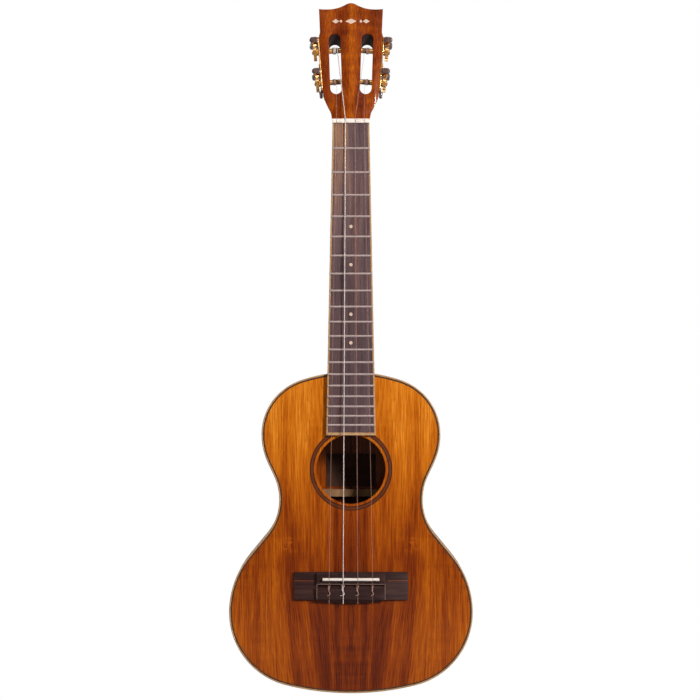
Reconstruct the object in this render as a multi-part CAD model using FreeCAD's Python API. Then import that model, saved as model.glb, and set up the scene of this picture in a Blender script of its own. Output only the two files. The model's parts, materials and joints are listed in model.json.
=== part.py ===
"""Tenor ukulele with a slotted headstock, one solid or group of solids per node.

The instrument stands upright: +Z runs up the neck, the strings face -Y and +X is the
player's view to the right. The origin is where a hanger's yoke carries the neck, on the
plane of the soundboard's face. All sizes are in millimetres.
"""
import FreeCAD
import Part
import math
import os

V = FreeCAD.Vector

# Scale and neck
scale_length = 431.8
nut_height = -9.0
nut_thickness = 4.0
nut_width = 36.4
fret_count = 19
board_width_nut = 35.1
board_width_end = 47.3
board_length = 297.6
board_thickness = 5.0
board_binding = 1.7
board_end_binding = 2.8
fret_rise = 0.9
fret_width = 2.1
neck_depth_nut = 13.5
neck_depth_heel = 16.0
heel_depth = 52.0
heel_fullness = 1.16
heel_start, heel_end = 188.0, 234.0

# Body outline: distances below the nut and half widths
body_top = 237.4
shoulder_at, shoulder_half, shoulder_radius, shoulder_under_radius = 296.7, 85.3, 54.2, 64.2
waist_at, waist_half, waist_radius = 358.8, 68.4, 52.8
bout_at, bout_half, bout_over_radius, bout_radius = 466.4, 116.2, 85.3, 71.6
body_bottom = 543.5
depth_at_neck = 62.0
depth_at_tail = 70.0
plate_thickness = 2.2
side_thickness = 2.0
binding_width = 1.5
binding_height = 5.0
purfling_width = 1.2
purfling_depth = 1.2
glue_gap = 0.05
lining_width = 5.0
lining_height = 6.0
soundhole_at = 330.0
soundhole_radius = 33.0
rosette_inner, rosette_outer = 36.3, 38.6
rosette_depth = 1.0
line_width = 0.8
label_at = 332.5
label_half_width, label_half_height = 24.0, 16.0
label_thickness = 0.3

# Bridge and strings, left to right seen from the front
bridge_at = 441.0
bridge_length = 108.8
bridge_width = 26.6
bridge_block = 65.2
saddle_at = 434.7
saddle_length = 54.0
saddle_thickness = 2.8
belly_drop = 2.6
wing_height = 3.4
bed_height = 7.0
channel_height = 4.0
tie_front, tie_rear = 442.6, 456.9
tie_height = 7.6
string_radius = {"g": 0.34, "c": 0.46, "e": 0.42, "a": 0.32}
nut_spots = {"g": -13.9, "c": -5.3, "e": 3.9, "a": 12.6}
saddle_spots = {"g": -20.7, "c": -7.4, "e": 6.5, "a": 20.7}
nut_string_rise = 6.5
saddle_string_rise = 10.9

# Headstock, in its own plane: distances above the nut along the tilted face
head_tilt = 8.0
head_thickness = 17.0
veneer_thickness = 1.5
slot_width = 11.2
slot_bottom, slot_top = 24.2, 83.4
slot_bottom_x, slot_top_x = 13.9, 15.9
slot_back_shortening = 8.0
side_low = (26.7, 26.5)
side_high = (30.8, 79.4)

# Tuning machines
roller_heights = {"upper": 66.4, "lower": 36.1}
roller_x = {"g": -13.5, "c": -13.0, "e": 13.2, "a": 12.9}
roller_depth = 7.2
roller_radius = 2.5
roller_length = 22.3
running_gap = 0.05
bore_gap = 0.3
blend_length, flank_length = 9.0, 22.0
tuner_plate = 1.2
gear_teeth = 14
gear_pitch_radius = 8.1
gear_thickness = 3.0
gear_offset = 4.6
worm_radius = 2.35
worm_wave = 0.5
worm_journal = 1.5
worm_pitch = 2 * math.pi * gear_pitch_radius / gear_teeth
worm_distance = gear_pitch_radius + worm_radius + 0.25
thread_half = 5.5
ear_gap = 0.3
ear_thickness = 1.4
ear_radius = 2.6
button_width = 9.2
button_thickness = 4.8
button_length = 15.0
button_start = 11.4
cap_width, cap_height, cap_length = 8.6, 5.6, 2.8
cap_edge = 1.3
tip_length, tip_half = 6.8, 1.8
seat_radius = 1.8
root_radius, tip_radius = 7.3, 8.5
winding_turns = 3
winding_gap = 0.4
machine_list = [
    ("g", "left", "lower"),
    ("c", "left", "upper"),
    ("e", "right", "upper"),
    ("a", "right", "lower"),
]


def below_nut(distance):
    """Height of a place so far below the nut's front edge."""
    return nut_height - distance


def polygon(points):
    return Part.makePolygon(list(points) + [points[0]])


def prism(wire, direction):
    return Part.Face(wire).extrude(direction)


def box(low, high):
    """A box between two opposite corners."""
    size = [b - a for a, b in zip(low, high)]
    return Part.makeBox(size[0], size[1], size[2], V(*low))


def fuse(shapes):
    result = shapes[0]
    for shape in shapes[1:]:
        result = result.fuse(shape)
    return result.removeSplitter()


def mirrored(shape):
    return shape.mirror(V(0, 0, 0), V(1, 0, 0))


# ------------------------------------------------------------------ body outline

def arc(centre, radius, start, end):
    """Arc in the XZ plane between two directions given as (x, z) unit pairs."""
    middle = (start[0] + end[0], start[1] + end[1])
    length = math.hypot(middle[0], middle[1])
    spots = [start, (middle[0] / length, middle[1] / length), end]
    points = [V(centre[0] + radius * s[0], 0, centre[1] + radius * s[1]) for s in spots]
    return Part.Arc(points[0], points[1], points[2]).toShape()


def direction(start, end):
    length = math.hypot(end[0] - start[0], end[1] - start[1])
    return ((end[0] - start[0]) / length, (end[1] - start[1]) / length)


def crossing_normal(centre, radius, hollow_centre, hollow_radius):
    """Outward normal of the line that touches an outer arc and the waist's hollow arc."""
    gap = math.hypot(hollow_centre[0] - centre[0], hollow_centre[1] - centre[1])
    base = math.atan2(hollow_centre[1] - centre[1], hollow_centre[0] - centre[0])
    turn = math.acos((radius + hollow_radius) / gap)
    lean = 1 if hollow_centre[1] < centre[1] else -1
    return (math.cos(base + lean * turn), math.sin(base + lean * turn))


def end_arc_radius(half, radius, reach):
    """Radius of the shallow end arc that runs smoothly into a bout's side arc."""
    inner = half - radius
    return (inner ** 2 + reach ** 2 - radius ** 2) / (2 * (reach - radius))


def body_wire(inset):
    """Closed outline of tangent arcs and lines, moved inwards by the inset."""
    top, bottom = below_nut(body_top), below_nut(body_bottom)
    top_radius = end_arc_radius(shoulder_half, shoulder_radius, shoulder_at - body_top)
    bottom_radius = end_arc_radius(bout_half, bout_radius, body_bottom - bout_at)
    centres = {
        "top": (0, top - top_radius),
        "shoulder": (shoulder_half - shoulder_radius, below_nut(shoulder_at)),
        "under": (shoulder_half - shoulder_under_radius, below_nut(shoulder_at)),
        "waist": (waist_half + waist_radius, below_nut(waist_at)),
        "over": (bout_half - bout_over_radius, below_nut(bout_at)),
        "bout": (bout_half - bout_radius, below_nut(bout_at)),
        "bottom": (0, bottom + bottom_radius),
    }
    to_shoulder = direction(centres["top"], centres["shoulder"])
    to_bottom = direction(centres["bottom"], centres["bout"])
    upper = crossing_normal(centres["under"], shoulder_under_radius, centres["waist"], waist_radius)
    lower = crossing_normal(centres["over"], bout_over_radius, centres["waist"], waist_radius)
    inward_upper = (-upper[0], -upper[1])
    inward_lower = (-lower[0], -lower[1])
    curves = [
        arc(centres["top"], top_radius - inset, (0, 1), to_shoulder),
        arc(centres["shoulder"], shoulder_radius - inset, to_shoulder, (1, 0)),
        arc(centres["under"], shoulder_under_radius - inset, (1, 0), upper),
        arc(centres["waist"], waist_radius + inset, inward_upper, inward_lower),
        arc(centres["over"], bout_over_radius - inset, lower, (1, 0)),
        arc(centres["bout"], bout_radius - inset, (1, 0), to_bottom),
        arc(centres["bottom"], bottom_radius - inset, to_bottom, (0, -1)),
    ]
    edges = [curves[0]]
    for curve in curves[1:]:
        start = edges[-1].lastVertex(True).Point
        end = curve.firstVertex(True).Point
        if start.distanceToPoint(end) > 1e-4:
            edges.append(Part.LineSegment(start, end).toShape())
        edges.append(curve)
    right = Part.Wire(Part.__sortEdges__(edges))
    return Part.Wire(Part.__sortEdges__(right.Edges + mirrored(right).Edges))


def body_slab(inset, front, rear):
    """Prism of the body's outline between two depths."""
    slab = prism(body_wire(inset), V(0, rear - front, 0))
    slab.translate(V(0, front, 0))
    return slab


def back_depth(height):
    """Depth of the back's outer face, which leans out towards the tail."""
    share = (below_nut(body_top) - height) / (body_bottom - body_top)
    return depth_at_neck + (depth_at_tail - depth_at_neck) * share


def before_back(cover):
    """Everything in front of a plane that lies inside the back by the cover."""
    top, bottom = below_nut(body_top - 60), below_nut(body_bottom + 30)
    corners = [V(-150, -30, top), V(-150, back_depth(top) - cover, top)]
    corners += [V(-150, back_depth(bottom) - cover, bottom), V(-150, -30, bottom)]
    return prism(polygon(corners), V(300, 0, 0))


def soundhole_ring(outer, inner, front, rear):
    centre = V(0, front, below_nut(soundhole_at))
    ring = Part.makeCylinder(outer, rear - front, centre, V(0, 1, 0))
    if inner > 0:
        ring = ring.cut(Part.makeCylinder(inner, rear - front, centre, V(0, 1, 0)))
    return ring


# ------------------------------------------------------------------ sound box

def bindings():
    """Front and back edge strips that wrap the corners of the box."""
    ring = body_slab(0, 0, binding_height).cut(body_slab(binding_width, 0, binding_height))
    deep = body_slab(0, 30, 90).cut(body_slab(binding_width, 30, 90))
    rear = deep.common(before_back(0)).cut(before_back(binding_height))
    return ring, rear


def purfling():
    outer = body_slab(binding_width + glue_gap, 0, purfling_depth)
    return outer.cut(body_slab(binding_width + purfling_width, 0, purfling_depth))


def sides():
    """The bent ribs, split on the centre line, rebated for both bindings."""
    wall = body_slab(0, plate_thickness, 90).cut(body_slab(side_thickness, plate_thickness, 90))
    wall = wall.common(before_back(plate_thickness))
    rebate = body_slab(-1, 0, binding_height)
    rear_rebate = body_slab(-1, 30, 90).cut(before_back(binding_height))
    core = body_slab(binding_width + glue_gap, 0, 90)
    wall = wall.cut(rebate.fuse(rear_rebate).cut(core))
    right = wall.common(box((0, -5, below_nut(600)), (150, 90, below_nut(200))))
    return mirrored(right), right


def soundboard():
    plate = body_slab(binding_width + glue_gap, 0, plate_thickness)
    plate = plate.cut(body_slab(0, -1, purfling_depth).cut(
        body_slab(binding_width + purfling_width + glue_gap, -1, purfling_depth)))
    plate = plate.cut(soundhole_ring(soundhole_radius, 0, -1, plate_thickness + 1))
    outer, inner = rosette_outer + line_width, rosette_inner - line_width
    return plate.cut(soundhole_ring(outer, inner, -1, rosette_depth))


def rosette():
    """Flush wooden ring round the soundhole, with a thin line on each edge of it."""
    ring = soundhole_ring(rosette_outer, rosette_inner, 0, rosette_depth)
    outer = soundhole_ring(rosette_outer + line_width - glue_gap, rosette_outer + glue_gap, 0, rosette_depth)
    inner = soundhole_ring(rosette_inner - glue_gap, rosette_inner - line_width + glue_gap, 0, rosette_depth)
    return ring, Part.makeCompound([outer, inner])


def back_board():
    plate = body_slab(binding_width + glue_gap, 30, 90).common(before_back(0))
    return plate.cut(before_back(plate_thickness))


def cavity_part(solid):
    """A solid trimmed to the space between the ribs, the soundboard and the back."""
    inside = body_slab(side_thickness + glue_gap, plate_thickness, 90)
    return solid.common(inside).common(before_back(plate_thickness))


def end_blocks():
    neck_low, neck_high = below_nut(body_top + 18), below_nut(body_top - 5)
    tail_low, tail_high = below_nut(body_bottom + 5), below_nut(body_bottom - 14)
    neck_block = cavity_part(box((-24, 0, neck_low), (24, 90, neck_high)))
    tail_block = cavity_part(box((-28, 0, tail_low), (28, 90, tail_high)))
    return neck_block, tail_block


def linings(blocks):
    """Glueing strips along both edges of the ribs, cut away for the end blocks."""
    ring = body_slab(side_thickness + glue_gap, 0, 90)
    ring = ring.cut(body_slab(side_thickness + lining_width, 0, 90))
    for block_bounds in blocks:
        low = (block_bounds.XMin - 0.5, -1, block_bounds.ZMin - 0.5)
        high = (block_bounds.XMax + 0.5, 95, block_bounds.ZMax + 6)
        if block_bounds.ZMin < below_nut(body_bottom - 60):
            low = (low[0], -1, block_bounds.ZMin - 6)
            high = (high[0], 95, block_bounds.ZMax + 0.5)
        ring = ring.cut(box(low, high))
    front = ring.common(box((-150, plate_thickness, -700), (150, plate_thickness + lining_height, 0)))
    rear = ring.common(before_back(plate_thickness)).cut(before_back(plate_thickness + lining_height))
    return front, rear


def brace(length, width, height, centre, angle):
    """Bar with its ends scooped low, laid in the XZ plane with its foot at y = 0."""
    half = length / 2
    low = height * 0.3
    points = [V(-half, 0, 0), V(-half, low, 0), V(-half * 0.72, height, 0)]
    points += [V(half * 0.72, height, 0), V(half, low, 0), V(half, 0, 0)]
    bar = prism(polygon(points), V(0, 0, width))
    bar.translate(V(0, 0, -width / 2))
    bar.rotate(V(0, 0, 0), V(0, 1, 0), angle)
    bar.translate(V(centre[0], 0, below_nut(centre[1])))
    return bar


def inner_width(distance):
    """Clear width between the linings, so far below the nut."""
    line = Part.makeLine(V(-150, 0, below_nut(distance)), V(150, 0, below_nut(distance)))
    gap = side_thickness + lining_width + 0.6
    return line.common(Part.Face(body_wire(gap))).BoundBox.XLength


def top_braces():
    """Two cross bars round the soundhole and three fan bars behind the bridge."""
    bars = []
    for distance in (285.0, 375.0):
        bars.append(brace(inner_width(distance) - 4, 6.0, 10.0, (0, distance), 0))
    for side in (-1, 0, 1):
        bars.append(brace(112.0, 5.0, 6.0, (side * 40.0, 446.0), 90 + side * 12))
    bars = [bar.cut(box((-60, -1, below_nut(456)), (60, 20, below_nut(426)))) for bar in bars]
    for bar in bars:
        bar.translate(V(0, plate_thickness, 0))
    return Part.makeCompound([solid for bar in bars for solid in bar.Solids])


def bridge_plate():
    low = (-58, plate_thickness, below_nut(455.5))
    return box(low, (58, plate_thickness + 2.2, below_nut(426.5)))


def back_braces():
    bars = []
    for distance in (280.0, 354.0, 420.0, 490.0):
        bar = brace(inner_width(distance) - 4, 7.0, 11.0, (0, distance), 0)
        bar.rotate(V(0, 0, below_nut(distance)), V(0, 0, 1), 180)
        lean = math.degrees(math.atan2(depth_at_tail - depth_at_neck, body_bottom - body_top))
        bar.rotate(V(0, 0, below_nut(distance)), V(1, 0, 0), lean)
        inner_face = plate_thickness / math.cos(math.radians(lean))
        bar.translate(V(0, back_depth(below_nut(distance)) - inner_face, 0))
        bars.append(bar.common(before_back(plate_thickness)))
    return Part.makeCompound([bar.Solids[0] for bar in bars])


def inside_label():
    """Blank paper label on the back, under the soundhole."""
    low, high = below_nut(label_at + label_half_height), below_nut(label_at - label_half_height)
    column = box((-label_half_width, 30, low), (label_half_width, 90, high))
    sheet = column.common(before_back(plate_thickness))
    return sheet.cut(before_back(plate_thickness + label_thickness))


# ------------------------------------------------------------------ neck and fretboard

def rounded_section(half_width, depth, height, squareness):
    """Half-round section at a height: flat towards -Y, fuller as squareness grows."""
    points = []
    for step in range(13):
        turn = math.pi * step / 12
        across, back = math.cos(turn), math.sin(turn)
        power = 2 / squareness
        x = math.copysign(abs(across) ** power, across) * half_width
        points.append(V(x, back ** power * depth, height))
    curve = Part.BSplineCurve()
    curve.interpolate(points)
    return Part.Wire([curve.toShape(), Part.makeLine(points[-1], points[0])])


def board_half(distance):
    """Half the fretboard's width, so far below the nut."""
    return (board_width_nut + (board_width_end - board_width_nut) * distance / board_length) / 2


def neck_back(distance):
    """Depth of the neck's back, swelling into the heel in a smooth step."""
    depth = neck_depth_nut + (neck_depth_heel - neck_depth_nut) * distance / body_top
    share = min(max((distance - heel_start) / (heel_end - heel_start), 0), 1)
    step = share ** 3 * (10 - 15 * share + 6 * share ** 2)
    return depth + (heel_depth * heel_fullness - depth) * step


def neck_shaft():
    """Neck from the nut to the heel, in two lofts that meet where the heel begins."""
    lofts = []
    shaft_stations = [0.0, 60.0, 120.0, heel_start]
    heel_stations = [heel_start + (heel_end - heel_start) * step / 12 for step in range(13)]
    heel_stations.append(body_top + 6)
    for stations in (shaft_stations, heel_stations):
        sections = [rounded_section(board_half(d), neck_back(d), below_nut(d), 2.1) for d in stations]
        lofts.append(Part.makeLoft(sections, True, False, False, 3))
    return fuse(lofts)


def head_place(shape):
    """Move a shape from the headstock's own plane to its tilted place behind the nut."""
    moved = shape.copy()
    turn = FreeCAD.Rotation(V(1, 0, 0), 90 - head_tilt)
    origin = V(0, 0, nut_height + nut_thickness)
    moved.Placement = FreeCAD.Placement(origin, turn).multiply(moved.Placement)
    return moved


def head_wire():
    """Outline of the headstock: waisted foot, straight sides, shoulders and a peaked top."""
    foot = [V(18.3, 0, 0), V(18.7, 4.0, 0), V(21.3, 10.4, 0), V(25.1, 18.6, 0), V(*side_low, 0)]
    foot_curve = Part.BSplineCurve()
    side = V(side_high[0] - side_low[0], side_high[1] - side_low[1], 0)
    foot_curve.interpolate(Points=foot, InitialTangent=V(0.02, 1, 0), FinalTangent=side.normalize())
    crown = [V(30.6, 107.0, 0), V(21.5, 106.6, 0), V(12.5, 108.0, 0), V(5.5, 111.0, 0), V(0, 112.8, 0)]
    crown_curve = Part.BSplineCurve()
    crown_curve.interpolate(Points=crown, InitialTangent=V(-1, -0.15, 0), FinalTangent=V(-1, 0.05, 0))
    high = V(side_high[0], side_high[1], 0)
    shoulder = V(29.6, 84.4, 0)
    edges = [foot_curve.toShape(), Part.makeLine(foot[-1], high), Part.makeLine(high, shoulder)]
    edges += [Part.makeLine(shoulder, crown[0]), crown_curve.toShape()]
    right = Part.makeCompound(edges)
    bottom = Part.makeLine(V(-18.3, 0, 0), V(18.3, 0, 0))
    return Part.Wire(Part.__sortEdges__(edges + mirrored(right).Edges + [bottom]))


def slot_wire(top, depth):
    """Round-ended slot outline on the right side of the headstock."""
    lean = math.atan2(slot_top_x - slot_bottom_x, slot_top - slot_bottom)
    radius = slot_width / 2
    along = V(math.sin(lean), math.cos(lean), 0)
    across = V(math.cos(lean), -math.sin(lean), 0)
    low = V(slot_bottom_x, slot_bottom, -depth) + along * radius
    high = V(slot_bottom_x, slot_bottom, -depth) + along * (top - slot_bottom - radius)
    corners = [low + across * radius, high + across * radius, high - across * radius, low - across * radius]
    edges = [
        Part.makeLine(corners[0], corners[1]),
        Part.Arc(corners[1], high + along * radius, corners[2]).toShape(),
        Part.makeLine(corners[2], corners[3]),
        Part.Arc(corners[3], low - along * radius, corners[0]).toShape(),
    ]
    return Part.Wire(edges)


def slot_cutter():
    """Both slots, whose upper ends slope down towards the back of the headstock."""
    extra = 1.0
    rise = extra * slot_back_shortening / head_thickness
    front = slot_wire(slot_top + rise, -extra)
    rear = slot_wire(slot_top - slot_back_shortening - rise, head_thickness + extra)
    right = Part.makeLoft([front, rear], True, True)
    return Part.makeCompound([right, mirrored(right)])


def head_slab(front, rear):
    slab = prism(head_wire(), V(0, 0, front - rear))
    slab.translate(V(0, 0, -front))
    return slab


def string_ramps():
    """Shallow grooves at the slots' lower ends, where the strings run in."""
    grooves = []
    for name in string_radius:
        start, end = string_run(name)
        run = end - start
        grooves.append(Part.makeCylinder(string_radius[name] + 0.5, run.Length, start, run))
    return Part.makeCompound(grooves)


def headstock():
    """Wood and face veneer of the headstock, both in their final place."""
    cutter = slot_cutter()
    bores = []
    for level in roller_heights:
        start = V(-roller_length - 0.5, 0, 0)
        bore = Part.makeCylinder(roller_radius + bore_gap, roller_length + 1.5, start, V(1, 0, 0))
        bores.append(side_place(bore, level))
    bores = Part.makeCompound(bores + [mirrored(bore) for bore in bores])
    wood = head_slab(veneer_thickness, head_thickness).cut(cutter).cut(bores)
    veneer = head_slab(0, veneer_thickness).cut(cutter)
    return head_place(wood), head_place(veneer)


def neck():
    """Shaft, heel and headstock core cut from one length of wood."""
    wood, veneer = headstock()
    start = nut_height + nut_thickness
    stations = [(-nut_thickness, board_half(0), neck_depth_nut, 2.1), (1.0, 18.2, 14.9, 2.6)]
    stations += [(5.0, 19.1, 16.9, 4.0), (blend_length, 20.7, 18.4, 8.0)]
    foot = [rounded_section(half, depth, start + rise, full) for rise, half, depth, full in stations]
    blend = Part.makeLoft(foot, True, False)
    above_face = head_place(box((-60, -1, -veneer_thickness), (60, 160, 60)))
    foot_end = start + flank_length
    shadow = prism(head_place(head_wire()), V(0, 60, 0))
    flanks = wood.common(box((-60, -60, start + blend_length), (60, 60, foot_end))).common(shadow)
    wood = wood.common(box((-60, -60, foot_end), (60, 60, start + 160))).fuse(flanks)
    solid = fuse([neck_shaft(), blend.cut(above_face), wood]).cut(body_slab(0, -1, 90))
    solid = solid.cut(box((-60, heel_depth, below_nut(260)), (60, 90, below_nut(150))))
    ramps = string_ramps()
    solid = solid.cut(veneer).cut(ramps)
    for screw in plate_screws():
        solid = solid.cut(screw)
    return solid, veneer.cut(ramps)


def heel_cap():
    """Thin plate that finishes the flat end of the heel."""
    slab = box((-60, heel_depth, below_nut(260)), (60, heel_depth + 1.8, below_nut(200)))
    return neck_shaft().common(slab).cut(body_slab(0, -1, 90))


def board_shape(inset, end_inset, front, rear):
    half_top = board_width_nut / 2 - inset
    half_end = board_width_end / 2 - inset
    end = below_nut(board_length - end_inset)
    corners = [V(-half_top, front, nut_height), V(half_top, front, nut_height)]
    corners += [V(half_end, front, end), V(-half_end, front, end)]
    return prism(polygon(corners), V(0, rear - front, 0))


def fretboard():
    """Playing board, its edge binding, the frets and the position dots."""
    outer = board_shape(0, 0, -board_thickness, 0)
    inner = board_shape(board_binding, board_end_binding, -board_thickness, 0)
    binding = outer.cut(inner)
    frets = [fret(number) for number in range(1, fret_count + 1)]
    dots = [position_dot(number) for number in (5, 7, 10, 12)]
    board = inner
    for dot in dots:
        board = board.cut(dot)
    return board, binding, Part.makeCompound(frets), Part.makeCompound(dots)


def fret_distance(number):
    return scale_length * (1 - 2 ** (-number / 12))


def fret(number):
    """Crowned wire laid across the board, a little short of its outer edges."""
    distance = fret_distance(number)
    half = board_half(distance) - 0.4
    low, high = V(-half, 0, -fret_width / 2), V(-half, 0, fret_width / 2)
    crown = Part.Wire([Part.Arc(low, V(-half, -fret_rise, 0), high).toShape(), Part.makeLine(high, low)])
    wire = prism(crown, V(2 * half, 0, 0))
    wire.translate(V(0, -board_thickness, below_nut(distance)))
    return wire


def position_dot(number):
    middle = (fret_distance(number - 1) + fret_distance(number)) / 2
    return Part.makeCylinder(1.6, 1.0, V(0, -board_thickness, below_nut(middle)), V(0, 1, 0))


def nut():
    """Bone nut, its top sloping down towards the headstock, grooved for the strings."""
    high = -(nut_string_rise + 0.35)
    rear = nut_height + nut_thickness
    points = [V(0, 0, nut_height), V(0, high, nut_height), V(0, high + 0.1, nut_height + 1.6)]
    points += [V(0, high + 1.1, rear), V(0, 0, rear)]
    block = prism(polygon(points), V(nut_width, 0, 0))
    block.translate(V(-nut_width / 2, 0, 0))
    for name, radius in string_radius.items():
        block = block.cut(string_tube(name, radius + 0.04))
    return block


# ------------------------------------------------------------------ bridge and strings

def bridge_blank():
    """Outline of the bridge with nearly square ends and a belly below the middle."""
    top, bottom = below_nut(bridge_at - bridge_width / 2), below_nut(bridge_at + bridge_width / 2)
    half, block = bridge_length / 2, bridge_block / 2
    curve_in = 4.0
    right_top = V(half - 0.5, 0, top - 0.2)
    right_low = V(half - 0.5, 0, bottom + 0.2)
    ends = Part.Arc(right_top, V(half, 0, (top + bottom) / 2), right_low).toShape()
    top_edge = Part.makeLine(V(0, 0, top), V(block + curve_in, 0, top))
    top_end = Part.makeLine(V(block + curve_in, 0, top), right_top)
    low_end = Part.makeLine(right_low, V(block, 0, bottom))
    belly_middle = V(block / 2, 0, bottom - belly_drop * 0.75)
    belly = Part.Arc(V(block, 0, bottom), belly_middle, V(0, 0, bottom - belly_drop))
    edges = [top_edge, top_end, ends, low_end, belly.toShape()]
    right = Part.makeCompound(edges)
    return Part.Wire(Part.__sortEdges__(edges + mirrored(right).Edges))


def bridge():
    """Wooden bridge: thin wings, a raised saddle bed and a drilled tie block."""
    plan = prism(bridge_blank(), V(0, -12, 0))
    wing = box((-60, -wing_height, below_nut(460)), (60, 0, below_nut(420)))
    top = below_nut(bridge_at - bridge_width / 2)
    bottom = below_nut(bridge_at + bridge_width / 2 + belly_drop)
    profile = [V(0, 0, top), V(0, -bed_height + 1.6, top), V(0, -bed_height, top - 2.0)]
    profile.append(V(0, -bed_height, below_nut(tie_front - 2.6)))
    profile.append(V(0, -channel_height, below_nut(tie_front - 1.6)))
    profile.append(V(0, -channel_height, below_nut(tie_front)))
    profile.append(V(0, -tie_height, below_nut(tie_front + 0.4)))
    profile += [V(0, -tie_height, bottom + 3.0), V(0, -tie_height + 2.2, bottom), V(0, 0, bottom)]
    block = prism(polygon(profile), V(bridge_block, 0, 0))
    block.translate(V(-bridge_block / 2, 0, 0))
    solid = plan.common(wing.fuse(block))
    solid = solid.cut(saddle_blank())
    for name in string_radius:
        solid = solid.cut(string_tube(name, string_radius[name] + 0.25))
    return solid


def saddle_blank():
    """Flat-topped strip that fills the saddle's slot."""
    low = (-saddle_length / 2, -saddle_string_rise, below_nut(saddle_at + saddle_thickness / 2))
    high = (saddle_length / 2, -channel_height, below_nut(saddle_at - saddle_thickness / 2))
    return box(low, high)


def saddle():
    """Bone saddle with a rounded top, grooved by the strings."""
    half, crest = saddle_length / 2, -saddle_string_rise + saddle_thickness / 2
    start = V(-half, crest, below_nut(saddle_at))
    ridge = Part.makeCylinder(saddle_thickness / 2, saddle_length, start, V(1, 0, 0))
    low = box((-half, crest, below_nut(saddle_at + 5)), (half, 0, below_nut(saddle_at - 5)))
    block = saddle_blank().common(low).fuse(ridge).removeSplitter()
    for name, radius in string_radius.items():
        block = block.cut(string_tube(name, radius + 0.04))
    return block


def head_point(x, along, front):
    """Place of a point given in the headstock's own plane."""
    lean = math.radians(head_tilt)
    rise = nut_height + nut_thickness + along * math.cos(lean) + front * math.sin(lean)
    return V(x, along * math.sin(lean) - front * math.cos(lean), rise)


def side_lean():
    """Slope of the headstock's straight sides, which the machines' plates follow."""
    return math.atan2(side_high[0] - side_low[0], side_high[1] - side_low[1])


def side_x(level):
    """Half the headstock's width at a roller."""
    return side_low[0] + (roller_heights[level] - side_low[1]) * math.tan(side_lean())


def string_level(name):
    return "upper" if name in ("c", "e") else "lower"


def roller_spot(name):
    """Place on the roller's axis where the string crosses it.

    The axis is square to the leaning side, so it rises along the head towards the middle.
    """
    level = string_level(name)
    inward = side_x(level) - abs(roller_x[name])
    height = roller_heights[level] + inward * math.tan(side_lean())
    return head_point(roller_x[name], height, -roller_depth)


def roller_reach(name):
    """Distance from a roller's axis to the middle of the string that passes over it."""
    return roller_radius + string_radius[name] + running_gap


def string_run(name):
    """Start on the nut's back edge and end where the string first touches its roller.

    The end is the tangent point, found by turning the contact until it lies square to
    the string's own direction.
    """
    front = -(nut_string_rise + string_radius[name]) + 0.25
    start = V(nut_spots[name], front, nut_height + nut_thickness - 0.9)
    axis = roller_spot(name)
    end = axis
    for _ in range(5):
        end = axis + contact_normal(start, end) * roller_reach(name)
    return start, end


def contact_normal(start, end):
    """Forward unit vector square to the string's run."""
    lean = math.radians(head_tilt)
    along = (end - start).normalize()
    outward = V(0, -math.cos(lean), math.sin(lean))
    return (outward - along * outward.dot(along)).normalize()


def string_points(name):
    """Corners of a string's route from the roller, over nut and saddle, to its tie."""
    radius = string_radius[name]
    start, end = string_run(name)
    nut_rise = nut_string_rise + radius
    saddle_rise = saddle_string_rise + radius
    x = saddle_spots[name]
    tie_level = -(channel_height + 1.2)
    behind = below_nut(tie_rear + 0.5 + radius)
    over = -(tie_height + radius + 0.1)
    slope = (saddle_rise - nut_rise) / (saddle_at - 1.0)
    points = [end, start, V(nut_spots[name], -nut_rise, nut_height + 1.2)]
    points.append(V(x, -saddle_rise - 0.1 * slope, below_nut(saddle_at - 0.4)))
    points.append(V(x, -saddle_rise + 0.35, below_nut(saddle_at + 1.3)))
    points += [V(x, tie_level, below_nut(tie_front - 1.4)), V(x, tie_level, behind)]
    points += [V(x, over, behind), V(x, over, below_nut(tie_front + 1.4))]
    return points


def rounded_path(points, radii):
    """Wire of straight runs joined by tangent arcs of the given radii."""
    edges = []
    last = points[0]
    for before, corner, after, radius in zip(points, points[1:], points[2:], radii):
        arrive = (corner - before).normalize()
        leave = (after - corner).normalize()
        turn = arrive.getAngle(leave)
        back = radius * math.tan(turn / 2)
        start, end = corner - arrive * back, corner + leave * back
        inward = (leave - arrive).normalize()
        centre = corner + inward * (radius / math.cos(turn / 2))
        middle = centre - inward * radius
        edges.append(Part.makeLine(last, start))
        edges.append(Part.Arc(start, middle, end).toShape())
        last = end
    edges.append(Part.makeLine(last, points[-1]))
    return edges


def string_edges(name):
    radius = string_radius[name]
    points = string_points(name)
    radii = [1.2, 1.2, 1.5, 1.5, 1.0, 0.9, 0.9]
    return rounded_path(points, radii)


def roller_wrap(name):
    """Arc that carries the string over its roller and down behind it."""
    start, end = string_run(name)
    along = (end - start).normalize()
    outward = contact_normal(start, end) * roller_reach(name)
    centre = end - outward
    return Part.Arc(centre - outward, centre + along * outward.Length, end).toShape()


def string_tube(name, radius):
    """A string of the given radius along its whole route."""
    edges = [roller_wrap(name)] + string_edges(name)
    path = Part.Wire(edges)
    start = path.Vertexes[0].Point
    tangent = edges[0].tangentAt(edges[0].FirstParameter)
    profile = Part.Wire([Part.makeCircle(radius, start, tangent)])
    pipe = Part.BRepOffsetAPI.MakePipeShell(path)
    pipe.setFrenetMode(False)
    pipe.add(profile)
    pipe.build()
    pipe.makeSolid()
    return pipe.shape()


# ------------------------------------------------------------------ tuning machines

def side_place(shape, level):
    """From a machine's own frame to the right side of the headstock's plane.

    In the machine's frame X points out of the wood, Y up along its side and Z to the
    front; the roller's axis is X.
    """
    moved = shape.copy()
    turn = FreeCAD.Rotation(V(0, 0, 1), -math.degrees(side_lean()))
    place = FreeCAD.Placement(V(side_x(level), roller_heights[level], -roller_depth), turn)
    moved.Placement = place.multiply(moved.Placement)
    return moved


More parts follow.
